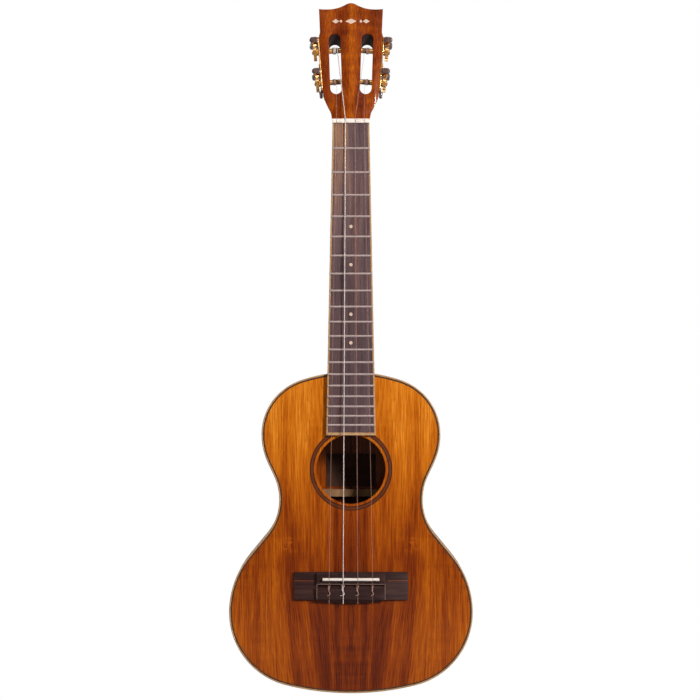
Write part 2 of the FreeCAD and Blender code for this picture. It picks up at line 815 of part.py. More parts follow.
def machine_place(shape, side, level):
    """From a machine's own frame to its final place on the given side."""
    placed = side_place(shape, level)
    if side == "left":
        placed = mirrored(placed)
    return head_place(placed)


def upper_offset():
    """Distance along the side from the lower roller to the upper one."""
    return (roller_heights["upper"] - roller_heights["lower"]) / math.cos(side_lean())


def roller(string_place):
    """String roller with its collar, gear seat, cross hole and screw hole."""
    collar_start = tuner_plate + running_gap * 6
    seat_start = gear_offset - gear_thickness / 2
    out = V(1, 0, 0)
    barrel = Part.makeCylinder(roller_radius, roller_length + collar_start, V(-roller_length, 0, 0), out)
    collar = Part.makeCylinder(3.4, seat_start - collar_start, V(collar_start, 0, 0), out)
    seat = Part.makeCylinder(seat_radius, gear_thickness, V(seat_start, 0, 0), out)
    solid = fuse([barrel, collar, seat])
    hole = Part.makeCylinder(0.8, 10, V(string_place, 0, -5), V(0, 0, 1))
    return solid.cut(hole).cut(gear_screw())


def gear_screw():
    """Domed screw that holds the gear on its roller."""
    seat_end = gear_offset + gear_thickness / 2
    shank = Part.makeCylinder(0.85, 4.0, V(seat_end - 4.0, 0, 0), V(1, 0, 0))
    head = Part.makeCylinder(2.5, 0.8, V(seat_end, 0, 0), V(1, 0, 0))
    dome = Part.makeSphere(4.3, V(seat_end + 1.5 - 4.3, 0, 0))
    cap = Part.makeCylinder(2.5, 1.6, V(seat_end, 0, 0), V(1, 0, 0)).common(dome)
    slot = box((seat_end + 0.7, -3, -0.3), (seat_end + 2, 3, 0.3))
    return fuse([shank, head, cap]).cut(slot)


def gear():
    """Toothed wheel whose slanted teeth follow the worm's thread."""
    step = 2 * math.pi / gear_teeth
    outline = []
    for tooth in range(gear_teeth):
        middle = (tooth + 0.5) * step
        for radius, half_width in ((root_radius, 0.95), (tip_radius, 0.36)):
            outline.append((radius, middle - half_width / radius))
        for radius, half_width in ((tip_radius, 0.36), (root_radius, 0.95)):
            outline.append((radius, middle + half_width / radius))
    slant = gear_thickness / 2 * worm_pitch / (2 * math.pi * worm_radius) / gear_pitch_radius
    wires = []
    for x, twist in ((gear_offset - gear_thickness / 2, -slant), (gear_offset + gear_thickness / 2, slant)):
        points = [V(x, r * math.cos(a + twist), r * math.sin(a + twist)) for r, a in outline]
        wires.append(polygon(points))
    wheel = Part.makeLoft(wires, True, True)
    return wheel.cut(Part.makeCylinder(seat_radius, 10, V(0, 0, 0), V(1, 0, 0)))


def worm():
    """Worm, its journals and the shaft that runs back to the button."""
    length = 2 * thread_half
    helix = Part.makeHelix(worm_pitch, length, worm_wave)
    profile = Part.Wire([Part.makeCircle(worm_radius, V(worm_wave, 0, 0), V(0, 0, 1))])
    pipe = Part.BRepOffsetAPI.MakePipeShell(Part.Wire(helix.Edges))
    pipe.setTrihedronMode(V(0, 0, 0), V(0, 0, 1))
    pipe.add(profile)
    pipe.build()
    pipe.makeSolid()
    thread = pipe.shape()
    thread.rotate(V(0, 0, 0), V(0, 0, 1), -90 - 360 * thread_half / worm_pitch)
    thread.translate(V(0, 0, -thread_half))
    ear_end = thread_half + ear_gap + ear_thickness
    rear = -button_start
    axle = Part.makeCylinder(worm_journal, ear_end + 0.9 - rear, V(0, 0, rear), V(0, 0, 1))
    ferrule = Part.makeCylinder(2.3, 1.2, V(0, 0, rear), V(0, 0, 1))
    stub = Part.makeCylinder(0.9, 6.0, V(0, 0, rear - 6.0), V(0, 0, 1))
    solid = fuse([thread, axle, ferrule, stub])
    solid.translate(V(gear_offset, worm_distance, 0))
    return solid


def button():
    """Flattened oval key on the end of the worm's shaft."""
    half, thick = button_width / 2, button_thickness / 2
    start, end = -button_start, -button_start - button_length
    side_points = [V(2.4, 0, start), V(half * 0.86, 0, start - 4.0), V(half, 0, start - 9.0)]
    side_points += [V(half * 0.78, 0, end + 1.9), V(0, 0, end)]
    curve = Part.BSplineCurve()
    curve.interpolate(Points=side_points, InitialTangent=V(0.3, 0, -1), FinalTangent=V(-1, 0, 0))
    edge = curve.toShape()
    top = Part.makeLine(V(-2.4, 0, start), V(2.4, 0, start))
    outline = Part.Wire(Part.__sortEdges__([edge, mirrored(edge), top]))
    slab = prism(outline, V(0, 2 * thick, 0))
    slab.translate(V(0, -thick, 0))
    rounding = Part.makeCylinder(half * 1.02, button_length + 2, V(0, 0, end - 1), V(0, 0, 1))
    key = slab.common(rounding)
    key = key.cut(Part.makeCylinder(0.9, 6.0, V(0, 0, start - 6.0), V(0, 0, 1)))
    key.translate(V(gear_offset, worm_distance, 0))
    return key


def tuner_side_plate():
    """One side's mounting plate with both pairs of ears, in the lower machine's frame."""
    half = thread_half + ear_gap + ear_thickness
    low, high = -8.8, upper_offset() + worm_distance + ear_radius + 0.6
    corner = 3.0
    solid = box((0, low, -half), (tuner_plate, high, half))
    for y, z in ((low, -half), (low, half), (high, -half), (high, half)):
        cy = y + math.copysign(corner, (low + high) / 2 - y)
        cz = z - math.copysign(corner, z)
        block = box((-1, min(y, cy), min(z, cz)), (3, max(y, cy), max(z, cz)))
        solid = solid.cut(block.cut(Part.makeCylinder(corner, 4, V(-1, cy, cz), V(1, 0, 0))))
    for offset in (0, upper_offset()):
        solid = solid.cut(Part.makeCylinder(roller_radius + running_gap, 4, V(-1, offset, 0), V(1, 0, 0)))
        for start in (-half, half - ear_thickness):
            y = offset + worm_distance
            ear = Part.makeCylinder(ear_radius, ear_thickness, V(gear_offset, y, start), V(0, 0, 1))
            high = (gear_offset, y + ear_radius, start + ear_thickness)
            web = box((tuner_plate, y - ear_radius, start), high)
            middle = V(gear_offset, y, start - ear_thickness / 2)
            hole = Part.makeCylinder(worm_journal + running_gap, 2 * ear_thickness, middle, V(0, 0, 1))
            solid = solid.fuse(ear.fuse(web)).cut(hole)
    return solid.removeSplitter()


def screw_spots():
    return [(-6.4, 0.0), (16.6, -4.6), (16.6, 4.6)]


def plate_screws():
    """Round-head screws that hold both plates to the wood."""
    screws = []
    for y, z in screw_spots():
        shank = Part.makeCylinder(0.9, 7.0 + tuner_plate, V(-7.0, y, z), V(1, 0, 0))
        head = Part.makeCylinder(1.7, 0.8, V(tuner_plate, y, z), V(1, 0, 0))
        slot = box((tuner_plate + 0.5, y - 2, z - 0.2), (3, y + 2, z + 0.2))
        screw = shank.fuse(head).removeSplitter().cut(slot)
        for side in ("left", "right"):
            screws.append(machine_place(screw, side, "lower"))
    return screws


def bearing_caps():
    """Dark oval caps over the front ears and the ends of the worms' shafts."""
    front = thread_half + ear_gap + ear_thickness
    flat = cap_width / 2 - cap_height / 2
    middle = box((-flat, -cap_height / 2, front), (flat, cap_height / 2, front + cap_length))
    ends = [
        Part.makeCylinder(cap_height / 2, cap_length, V(x, 0, front), V(0, 0, 1)) for x in (-flat, flat)
    ]
    solid = fuse([middle] + ends)
    outer = [e for e in solid.Edges if e.BoundBox.ZMin > front + cap_length - 0.01]
    solid = solid.makeFillet(cap_edge, outer)
    solid.translate(V(gear_offset + 0.2, worm_distance, 0))
    shaft_end = V(gear_offset, worm_distance, front)
    solid = solid.cut(Part.makeCylinder(worm_journal + bore_gap, 1.2, shaft_end, V(0, 0, 1)))
    return [machine_place(solid, side, level) for name, side, level in machine_list]


def plate_tips():
    """Dark bullet-shaped ends below both plates."""
    start, nose = -8.8, -8.8 - tip_length
    outline = Part.BSplineCurve()
    points = [V(tip_half, start, 0), V(tip_half * 0.85, (start + nose) / 2, 0), V(0, nose, 0)]
    outline.interpolate(Points=points, InitialTangent=V(0, -1, 0), FinalTangent=V(-1, 0, 0))
    closing = [Part.makeLine(points[2], V(0, start, 0)), Part.makeLine(V(0, start, 0), points[0])]
    tip = Part.Face(Part.Wire([outline.toShape()] + closing)).revolve(V(0, 0, 0), V(0, 1, 0), 360)
    tip.translate(V(tip_half + 0.15, 0, 3.0))
    return [machine_place(tip, side, "lower") for side in ("left", "right")]


def winding(string_place, radius):
    """Turns of string on the roller: touching rings side by side."""
    base = roller_radius + running_gap
    left = string_place + radius + winding_gap
    right = left + 2 * radius * winding_turns
    corners = [V(left, base + radius, 0), V(left, base, 0), V(right, base, 0), V(right, base + radius, 0)]
    edges = [Part.makeLine(a, b) for a, b in zip(corners, corners[1:])]
    for turn in range(winding_turns):
        end = right - 2 * radius * turn
        corner, peak = V(end, base + radius, 0), V(end - radius, base + 2 * radius, 0)
        edges.append(Part.Arc(corner, peak, V(end - 2 * radius, base + radius, 0)).toShape())
    return Part.Face(Part.Wire(edges)).revolve(V(0, 0, 0), V(1, 0, 0), 360)


def string_place(name):
    """Where a string meets its roller, measured along the roller from the wood's side."""
    return -(side_x(string_level(name)) - abs(roller_x[name])) / math.cos(side_lean())


def machines():
    """Every moving piece of the four machines, by node name."""
    pieces = {}
    for name, side, level in machine_list:
        place = string_place(name)
        label = side + "_" + level
        beyond = place + 2 * string_radius[name] * (winding_turns + 1.5)
        parts = {
            "roller": roller(beyond),
            "gear": gear(),
            "gear_screw": gear_screw(),
            "worm": worm(),
            "button": button(),
            "string_turns": winding(place, string_radius[name]),
        }
        for kind, shape in parts.items():
            pieces[label + "_" + kind] = machine_place(shape, side, level)
    return pieces


def plates():
    plate = tuner_side_plate()
    for y, z in screw_spots():
        plate = plate.cut(Part.makeCylinder(0.9, 6, V(-2, y, z), V(1, 0, 0)))
    return machine_place(plate, "left", "lower"), machine_place(plate, "right", "lower")


def head_inlay():
    """Small pearl ornament set in the headstock's face: a lozenge between two dots."""
    middle = 95.0
    lozenge = polygon([V(-5.5, middle, 0), V(0, middle - 2.6, 0), V(5.5, middle, 0), V(0, middle + 2.6, 0)])
    shapes = [prism(lozenge, V(0, 0, -0.5))]
    for x in (-9.5, 9.5):
        shapes.append(Part.makeCylinder(1.2, 0.5, V(x, middle, -0.5), V(0, 0, 1)))
    return head_place(Part.makeCompound(shapes))


# ------------------------------------------------------------------ assembly

def build():
    nodes = {}
    nodes["top_binding"], nodes["back_binding"] = bindings()
    nodes["purfling"] = purfling()
    nodes["left_rib"], nodes["right_rib"] = sides()
    nodes["soundboard"] = soundboard()
    nodes["rosette"], nodes["rosette_lines"] = rosette()
    nodes["back_board"] = back_board()
    neck_block, tail_block = end_blocks()
    nodes["neck_block"], nodes["tail_block"] = neck_block, tail_block
    nodes["top_lining"], nodes["back_lining"] = linings([neck_block.BoundBox, tail_block.BoundBox])
    nodes["top_braces"] = top_braces()
    nodes["bridge_plate"] = bridge_plate()
    nodes["back_braces"] = back_braces()
    nodes["inside_label"] = inside_label()
    nodes["neck"], veneer = neck()
    nodes["heel_cap"] = heel_cap()
    inlay = head_inlay()
    nodes["headstock_veneer"] = veneer.cut(inlay)
    nodes["headstock_inlay"] = inlay
    nodes["fretboard"], nodes["fretboard_binding"], nodes["frets"], nodes["position_dots"] = fretboard()
    nodes["nut"] = nut()
    nodes["bridge"] = bridge()
    nodes["saddle"] = saddle()
    for name in string_radius:
        nodes[name + "_string"] = string_tube(name, string_radius[name])
    nodes["left_tuner_plate"], nodes["right_tuner_plate"] = plates()
    nodes["plate_screws"] = Part.makeCompound(plate_screws())
    nodes["end_caps"] = Part.makeCompound(bearing_caps() + plate_tips())
    nodes.update(machines())
    return nodes


os.makedirs("parts", exist_ok=True)
for node_name, node_shape in build().items():
    node_shape.exportStep("parts/" + node_name + ".step")
    print(node_name, round(node_shape.Volume, 1), len(node_shape.Solids), node_shape.isValid())
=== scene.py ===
"""Looks of a tenor ukulele: woods, bone, pearl, gilt machines, strings and studio."""
import json
import math
import bmesh
import bpy
import numpy as np
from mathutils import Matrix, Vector


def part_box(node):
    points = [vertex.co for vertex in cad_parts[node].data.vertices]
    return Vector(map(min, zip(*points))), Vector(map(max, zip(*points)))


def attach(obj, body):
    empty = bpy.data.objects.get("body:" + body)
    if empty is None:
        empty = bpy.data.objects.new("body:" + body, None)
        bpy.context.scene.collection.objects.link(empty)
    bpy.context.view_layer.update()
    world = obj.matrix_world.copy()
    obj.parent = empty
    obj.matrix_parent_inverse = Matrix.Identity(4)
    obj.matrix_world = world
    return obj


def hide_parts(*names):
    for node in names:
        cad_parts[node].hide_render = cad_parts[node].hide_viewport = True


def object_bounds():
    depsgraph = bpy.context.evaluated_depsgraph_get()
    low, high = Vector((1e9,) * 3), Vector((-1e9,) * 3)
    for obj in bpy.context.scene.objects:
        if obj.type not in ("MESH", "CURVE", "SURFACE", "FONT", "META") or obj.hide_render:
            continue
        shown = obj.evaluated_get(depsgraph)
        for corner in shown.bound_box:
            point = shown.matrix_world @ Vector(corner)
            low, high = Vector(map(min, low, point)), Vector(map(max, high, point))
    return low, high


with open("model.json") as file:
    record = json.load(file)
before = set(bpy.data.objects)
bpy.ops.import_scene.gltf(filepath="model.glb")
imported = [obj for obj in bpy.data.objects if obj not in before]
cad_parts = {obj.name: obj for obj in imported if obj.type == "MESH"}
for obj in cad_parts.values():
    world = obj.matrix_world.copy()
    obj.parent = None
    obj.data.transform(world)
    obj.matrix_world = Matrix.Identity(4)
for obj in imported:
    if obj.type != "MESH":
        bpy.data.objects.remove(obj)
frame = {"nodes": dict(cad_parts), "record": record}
cad_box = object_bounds()
nodes = frame["nodes"]


# ------------------------------------------------------------------ shader building

class Wire:
    """A value socket that does arithmetic: every operator adds a Math node."""

    def __init__(self, finish, socket):
        self.finish = finish
        self.socket = socket

    def math(self, operation, *others):
        inputs = dict(enumerate([self, *others]))
        return self.finish.value("Math", {"operation": operation}, inputs)

    def __add__(self, other):
        return self.math("ADD", other)

    def __radd__(self, other):
        return self.math("ADD", other)

    def __sub__(self, other):
        return self.math("SUBTRACT", other)

    def __rsub__(self, other):
        return self.math("MULTIPLY", -1.0).math("ADD", other)

    def __mul__(self, other):
        return self.math("MULTIPLY", other)

    def __rmul__(self, other):
        return self.math("MULTIPLY", other)

    def __truediv__(self, other):
        return self.math("DIVIDE", other)

    def __pow__(self, other):
        return self.math("POWER", other)

    def __abs__(self):
        return self.math("ABSOLUTE")

    def step(self, low, high):
        """Rises smoothly from 0 at low to 1 at high."""
        inputs = {"Value": self, "From Min": low, "From Max": high}
        return self.finish.value("MapRange", {"interpolation_type": "SMOOTHSTEP"}, inputs, "Result")


class Bench:
    """Adds nodes to a shader tree."""

    def __init__(self, tree):
        self.tree = tree

    def node(self, kind, settings=None, inputs=None):
        """Adds a node of a type, sets its settings first and then its sockets."""
        made = self.tree.nodes.new("ShaderNode" + kind)
        for name, value in (settings or {}).items():
            if name == "stops":
                self.set_stops(made.color_ramp, value)
            else:
                setattr(made, name, value)
        for name, value in (inputs or {}).items():
            self.join(value, made.inputs[name])
        return made

    def join(self, value, socket):
        if isinstance(value, Wire):
            value = value.socket
        if isinstance(value, bpy.types.NodeSocket):
            self.tree.links.new(value, socket)
        else:
            socket.default_value = value

    def set_stops(self, ramp, stops):
        while len(ramp.elements) < len(stops):
            ramp.elements.new(0.5)
        for element, (place, colour) in zip(ramp.elements, stops):
            element.position = place
            element.color = (*colour, 1.0)

    def value(self, kind, settings=None, inputs=None, output=0):
        return Wire(self, self.node(kind, settings, inputs).outputs[output])

    def place(self):
        return self.node("TexCoord").outputs["Object"]

    def split(self, vector):
        made = self.node("SeparateXYZ", None, {"Vector": vector})
        return [Wire(self, made.outputs[axis]) for axis in ("X", "Y", "Z")]

    def joined(self, x, y, z):
        return self.node("CombineXYZ", None, {"X": x, "Y": y, "Z": z}).outputs[0]

    def noise(self, vector, scale, detail=3.0, rough=0.5, warp=0.0):
        inputs = {
            "Vector": vector, "Scale": scale, "Detail": detail, "Roughness": rough,
            "Distortion": warp,
        }
        return self.value("TexNoise", None, inputs, "Fac")

    def stretched(self, vector, scale, offset=(0.0, 0.0, 0.0)):
        """The vector times a scale in each direction, after a shift."""
        moved = self.node("VectorMath", {"operation": "ADD"}, {0: vector, 1: offset}).outputs[0]
        return self.node("VectorMath", {"operation": "MULTIPLY"}, {0: moved, 1: scale}).outputs[0]

    def ramp(self, value, stops):
        return self.node("ValToRGB", {"stops": stops}, {"Fac": value}).outputs["Color"]

    def mix(self, share, first, second):
        """Colour between two colours."""
        made = self.node("Mix", {"data_type": "RGBA"})
        colour_inputs = [s for s in made.inputs if s.type == "RGBA"]
        self.join(share, made.inputs[0])
        self.join(first, colour_inputs[0])
        self.join(second, colour_inputs[1])
        return [s for s in made.outputs if s.type == "RGBA"][0]


class Finish(Bench):
    """A material under construction, with its Principled shader."""

    def __init__(self, name, **constants):
        self.material = bpy.data.materials.new(name)
        self.material.use_nodes = True
        super().__init__(self.material.node_tree)
        self.shader = self.tree.nodes["Principled BSDF"]
        for socket, value in constants.items():
            self.shader.inputs[socket.replace("_", " ")].default_value = value

    def paint(self, colour, rough, height, depth, edge=0.0003):
        """Connects colour and roughness, and bumps the surface over softened edges."""
        self.join(colour, self.shader.inputs["Base Color"])
        self.join(rough, self.shader.inputs["Roughness"])
        rounded = self.node("Bevel", {"samples": 4}, {"Radius": edge}).outputs[0]
        inputs = {"Height": height, "Distance": depth, "Strength": 1.0, "Normal": rounded}
        self.join(self.node("Bump", None, inputs).outputs[0], self.shader.inputs["Normal"])
        return self.material


def rgb(*display):
    """Linear colour from display values between 0 and 255."""
    shares = [level / 255 for level in display]
    return tuple(
        ((share + 0.055) / 1.055) ** 2.4 if share > 0.04 else share / 12.92 for share in shares
    )


def rgba(*display):
    return (*rgb(*display), 1.0)


# ------------------------------------------------------------------ woods

def grain(finish, field, fine=900.0, broad=80.0):
    """Broad bands, fine lines and short open pores, all drawn out along the grain."""
    wavy = finish.noise(finish.stretched(field, (9.0, 9.0, 5.0)), 1.0, 2.0)
    x, y, z = finish.split(field)
    bent = finish.joined(x + (wavy - 0.5) * 0.010, y, z)
    bands = finish.noise(finish.stretched(bent, (broad, broad, broad * 0.05)), 1.0, 4.0, 0.6)
    lines = finish.noise(finish.stretched(bent, (fine, fine, fine * 0.034)), 1.0, 3.0, 0.65)
    dashes = finish.noise(finish.stretched(bent, (fine * 1.8, fine * 1.8, fine * 0.12)), 1.0, 2.0, 0.5)
    pores = dashes.step(0.60, 0.70)
    return bands, lines, pores, bent


gloss = {"Coat_Weight": 0.25, "Coat_Roughness": 0.05, "Specular_IOR_Level": 0.05}
koa_pore = rgba(58, 18, 3)
koa_tones = [
    (0.03, (44, 12, 2)),
    (0.20, (80, 25, 3)),
    (0.38, (108, 41, 2)),
    (0.54, (136, 61, 3)),
    (0.70, (160, 82, 8)),
    (0.84, (180, 101, 18)),
    (0.98, (206, 130, 44)),
]


def koa(name, shade, matched=False, shift=0.0, contrast=1.0):
    """Reddish gold tropical wood: dark and light bands, fine lines and faint curl.

    The shade gives the mean tone over the piece and how far the grain leans sideways, in
    metres, or None; matched folds the pattern about the centre seam.
    """
    finish = Finish(name, **gloss)
    x, y, z = finish.split(finish.place())
    across = abs(x) if matched else x
    tone, lean = shade(finish, x, y, z)
    if lean is not None:
        across = across + lean
    field = finish.joined(across + shift, y + shift, z)
    bands, lines, pores, bent = grain(finish, field)
    curl = finish.noise(finish.stretched(bent, (22.0, 22.0, 150.0)), 1.0, 2.0, 0.5)
    figure = finish.noise(finish.stretched(bent, (16.0, 16.0, 9.0), (0.7, 0.2, 0.1)), 1.0, 2.0)
    tone = tone + (bands - 0.5) * (0.80 * contrast) + (lines - 0.5) * (0.85 * contrast)
    tone = tone + (curl - 0.5) * figure.step(0.45, 0.7) * 0.3
    colour = finish.ramp(tone, [(place, rgb(*shades)) for place, shades in koa_tones])
    colour = finish.mix(pores * 0.4, colour, koa_pore)
    rough = 0.28 + (lines - 0.5) * 0.12 + pores * 0.12
    height = lines * 0.4 - pores * 0.6
    return finish.paint(colour, rough, height, depth=0.00002, edge=0.0004)


def oval(across, along, middle, half_size):
    """1 at the middle of an oval, falling smoothly to 0 at its edge."""
    sideways = (across - middle[0]) / half_size[0]
    lengthways = (along - middle[1]) / half_size[1]
    return 1.0 - (sideways ** 2 + lengthways ** 2).step(0.0, 1.0)


def soundboard_shade(finish, x, y, z):
    """Lighter over the upper bout, partly the wood's own tone and partly painted light from above;
    dark down the middle below the soundhole.

    Below the bridge the grain leans in towards the seam, and a wavy mark lies on each
    side between the waist and the bridge.
    """
    away = abs(x)
    hole, waist, bridge_foot, tail = -0.339, -0.40, -0.452, -0.54
    knot_away, knot_level, smoke_away, smoke_level = 0.059, -0.411, 0.061, -0.430
    # Painted light: the tone rises towards the upper bout, partly the wood's own tone and partly light
    # falling from above.
    light = 0.485 + 0.33 * z.step(-0.44, hole + 0.06)
    width = 0.022 + 0.020 * (1.0 - z.step(tail, waist))
    dip = (1.0 - (away / width).step(0.25, 1.3)) * (1.0 - z.step(-0.395, hole)) * 0.25
    rim = away.step(0.080, 0.112) * 0.05
    mirrored = finish.joined(away, y, z)
    cloud = finish.noise(finish.stretched(mirrored, (26.0, 26.0, 7.0)), 1.0, 2.0)
    knots = finish.noise(finish.stretched(mirrored, (130.0, 130.0, 190.0)), 1.0, 2.0, 0.5, 0.8)
    spot = oval(away, z, (knot_away, knot_level), (0.011, 0.009))
    smoke = oval(away, z, (smoke_away, smoke_level), (0.010, 0.016))
    tone = light - dip + rim + (cloud - 0.5) * 0.30 + (knots - 0.42) * spot * 0.55 - smoke * 0.07
    below = (bridge_foot - z).math("MAXIMUM", 0.0)
    lean = below * 0.11 * away.step(0.004, 0.03) * (1.0 - away.step(0.045, 0.085))
    return tone, lean + (knots - 0.5) * spot * 0.004


def back_shade(finish, x, y, z):
    """Even brown, darker towards the middle, with a thin dark line at the centre seam."""
    away = abs(x)
    cloud = finish.noise(finish.stretched(finish.joined(away, y, z), (18.0, 18.0, 5.0)), 1.0, 2.0)
    seam = 1.0 - away.step(0.0003, 0.0007)
    arch = (0.10 - away).step(0.0, 0.09) * 0.08
    return 0.56 + (cloud - 0.5) * 0.4 - arch - seam * 0.4, None


def face_shade(finish, x, y, z):
    """Headstock face: a light stripe just right of the middle, darker flanks."""
    stripe_middle, stripe_half, head_half = 0.002, 0.006, 0.03
    stripe = 1.0 - (abs(x - stripe_middle) / stripe_half).step(0.2, 1.2)
    flank = (abs(x) / head_half).step(0.4, 1.0)
    cloud = finish.noise(finish.stretched(finish.place(), (60.0, 60.0, 14.0)), 1.0, 2.0)
    return 0.38 + stripe * 0.18 - flank * 0.03 + (cloud - 0.5) * 0.3, None


def rib_koa(name):
    """Koa bent round the body: bands run along the rib, so they vary with depth only."""
    finish = Finish(name, **gloss)
    x, y, z = finish.split(finish.place())
    wavy = finish.noise(finish.stretched(finish.place(), (7.0, 7.0, 7.0)), 1.0, 2.0)
    depth = y + (wavy - 0.5) * 0.016
    field = finish.joined(x * 0.02, depth, z * 0.02)
    bands = finish.noise(field, 95.0, 4.0, 0.6)
    lines = finish.noise(field, 950.0, 3.0, 0.65)
    streaks = finish.noise(finish.joined(x * 0.06, depth, z * 0.06), 1500.0, 2.0)
    curl = finish.noise(finish.stretched(finish.place(), (130.0, 16.0, 130.0)), 1.0, 2.0)
    pores = streaks.step(0.60, 0.70)
    tone = 0.52 + (bands - 0.5) * 0.9 + (lines - 0.5) * 0.65 + (curl - 0.5) * 0.12
    colour = finish.ramp(tone, [(place, rgb(*shades)) for place, shades in koa_tones])
    colour = finish.mix(pores * 0.4, colour, koa_pore)
    rough = 0.28 + (lines - 0.5) * 0.12
    return finish.paint(colour, rough, lines * 0.4 - pores * 0.6, depth=0.00002)


def plain_wood(name, dark, mid, light):
    """Straight-grained bare wood between three tones."""
    finish = Finish(name, Specular_IOR_Level=0.15)
    x, y, z = finish.split(finish.place())
    bands, lines, pores, bent = grain(finish, finish.joined(x + 3.1, y, z), 1100.0, 110.0)
    tone = (bands - 0.5) * 0.9 + (lines - 0.5) * 0.6 + 0.5
    colour = finish.ramp(tone, [(0.1, dark), (0.5, mid), (0.9, light)])
    colour = finish.mix(pores * 0.5, colour, (*dark, 1.0))
    rough = 0.7 + (lines - 0.5) * 0.2 + pores * 0.12
    return finish.paint(colour, rough, lines * 0.4 - pores * 0.6, depth=0.00004, edge=0.0003)


def neck_wood_with_slot_stain_and_shade(name):
    """Neck wood whose slot walls are darker, partly a dark stain and partly painted shade of the deep
    slots, kept off the rear face.
    """
    finish = Finish(name, Coat_Weight=0.2, Coat_Roughness=0.12, Specular_IOR_Level=0.08)
    x, y, z = finish.split(finish.place())
    bands, lines, pores, bent = grain(finish, finish.joined(x + 0.6, y, z), 1100.0, 110.0)
    tone = (bands - 0.5) * 0.9 + (lines - 0.5) * 0.6 + 0.5
    stops = [(0.1, rgb(50, 20, 7)), (0.5, rgb(92, 40, 12)), (0.9, rgb(128, 66, 24))]
    colour = finish.ramp(tone, stops)
    high, low = slot_span
    soft, wall_soft, rear_skin = 0.0005, 0.0004, 0.0006
    inside = z.step(low - soft, low + soft) * (1.0 - z.step(high - soft, high + soft))
    inside = inside * (1.0 - abs(abs(x) - slot_middle).step(slot_half, slot_half + wall_soft))
    behind = (y - face_middle[1]) * math.cos(head_lean) - (z - face_middle[2]) * math.sin(head_lean)
    rear = head_depth - rear_skin
    inside = inside * (1.0 - behind.step(rear, rear + wall_soft))
    # Painted shade: the slot walls' dark colour stands partly for the shadow inside the slots, partly
    # for a stain.
    stain_and_painted_shade = finish.ramp(tone, [(0.2, rgb(36, 23, 23)), (0.8, rgb(66, 45, 46))])
    colour = finish.mix(inside, colour, stain_and_painted_shade)
    colour = finish.mix(pores * 0.5, colour, rgba(40, 16, 6))
    rough = 0.42 + (lines - 0.5) * 0.2 + pores * 0.12
    return finish.paint(colour, rough, lines * 0.4 - pores * 0.6, depth=0.00004, edge=0.0003)


stripe_half_width, stripe_start = 0.0007, (0.034, 0.036)


def rosewood(name, stops, along, streak, light_end=None, stripe_at=None):
    """Dark purple-brown wood with open pores and red streaks, grain along one axis.

    It may be lighter towards an end, most on the left, or have one red stripe across.
    """
    finish = Finish(name, Coat_Weight=0.1, Coat_Roughness=0.25, Specular_IOR_Level=0.08)
    x, y, z = finish.split(finish.place())
    field = finish.joined(x + 0.2, y, z) if along == "z" else finish.joined(z + 0.21, y, x)
    bands, lines, pores, bent = grain(finish, field, 1300.0, 160.0)
    tone = bands - 0.5 + (lines - 0.5) * 0.7 + 0.45
    if light_end is not None:
        leftward = x.math("MULTIPLY", -1.0).step(-0.004, 0.014)
        tone = tone + z.step(*light_end) * (0.16 + leftward * 0.32)
    colour = finish.ramp(tone, [(place, rgb(*shades)) for place, shades in stops])
    red = finish.noise(finish.stretched(bent, (150.0, 150.0, 2.5), (0.31, 0.1, 0.0)), 1.0, 1.0)
    colour = finish.mix(red.step(0.60, 0.72) * streak, colour, rgba(112, 60, 34))
    if stripe_at is not None:
        wander = finish.noise(finish.stretched(field, (300.0, 300.0, 12.0)), 1.0, 2.0)
        off_line = abs(z - stripe_at + (wander - 0.5) * 0.0006)
        stripe = 1.0 - (off_line / stripe_half_width).step(0.4, 1.0)
        stripe = stripe * abs(x).step(*stripe_start)
        colour = finish.mix(stripe * 0.75, colour, rgba(98, 50, 28))
    pore_colour = tuple(c * 0.35 for c in rgb(*stops[0][1]))
    colour = finish.mix(pores * 0.5, colour, (*pore_colour, 1.0))
    rough = 0.42 + (lines - 0.5) * 0.2 + pores * 0.2
    return finish.paint(colour, rough, lines * 0.4 - pores, depth=0.00004, edge=0.0004)


# ------------------------------------------------------------------ other finishes

def edge_strip(name, colour, variation):
    """Polished strip with soft mottling along it."""
    finish = Finish(name, Coat_Weight=0.05, Coat_Roughness=0.1, Specular_IOR_Level=0.15)
    cloud = finish.noise(finish.place(), 160.0, 4.0, 0.6)
    speck = finish.noise(finish.place(), 1800.0, 2.0)
    tone = (cloud - 0.5) * variation + (speck - 0.5) * variation * 0.6 + 0.5
    dark = tuple(c * 0.62 for c in colour)
    light = tuple(min(c * 1.25, 1.0) for c in colour)
    shades = finish.ramp(tone, [(0.2, dark), (0.5, colour), (0.85, light)])
    return finish.paint(shades, 0.4 + (speck - 0.5) * 0.1, speck, depth=0.00003)


def bone(name):
    """Creamy bone with faint fibre lines and grey flecks."""
    finish = Finish(name, Subsurface_Weight=0.08, Specular_IOR_Level=0.4, Subsurface_Scale=0.002)
    fibre = finish.noise(finish.stretched(finish.place(), (220.0, 1400.0, 1400.0)), 1.0, 3.0)
    fleck = finish.noise(finish.place(), 2400.0, 2.0).step(0.66, 0.76)
    colour = finish.ramp(fibre, [(0.3, rgb(188, 174, 164)), (0.7, rgb(214, 203, 194))])
    colour = finish.mix(fleck * 0.3, colour, rgba(176, 160, 136))
    return finish.paint(colour, 0.3 + (fibre - 0.5) * 0.15, fibre, depth=0.00003, edge=0.0004)


def pearl(name, tint):
    """Shell with soft clouds round a tint."""
    finish = Finish(name, Coat_Weight=0.3, Coat_Roughness=0.06, Specular_IOR_Level=0.3)
    cloud = finish.noise(finish.place(), 420.0, 3.0, 0.6, 1.5)
    warm = tuple(min(c * w, 1.0) for c, w in zip(tint, (1.08, 0.92, 0.86)))
    cool = tuple(min(c * w, 1.0) for c, w in zip(tint, (0.84, 0.98, 0.98)))
    colour = finish.ramp(cloud, [(0.3, cool), (0.5, tint), (0.7, warm)])
    return finish.paint(colour, 0.22 + (cloud - 0.5) * 0.1, cloud, depth=0.00002, edge=0.0001)


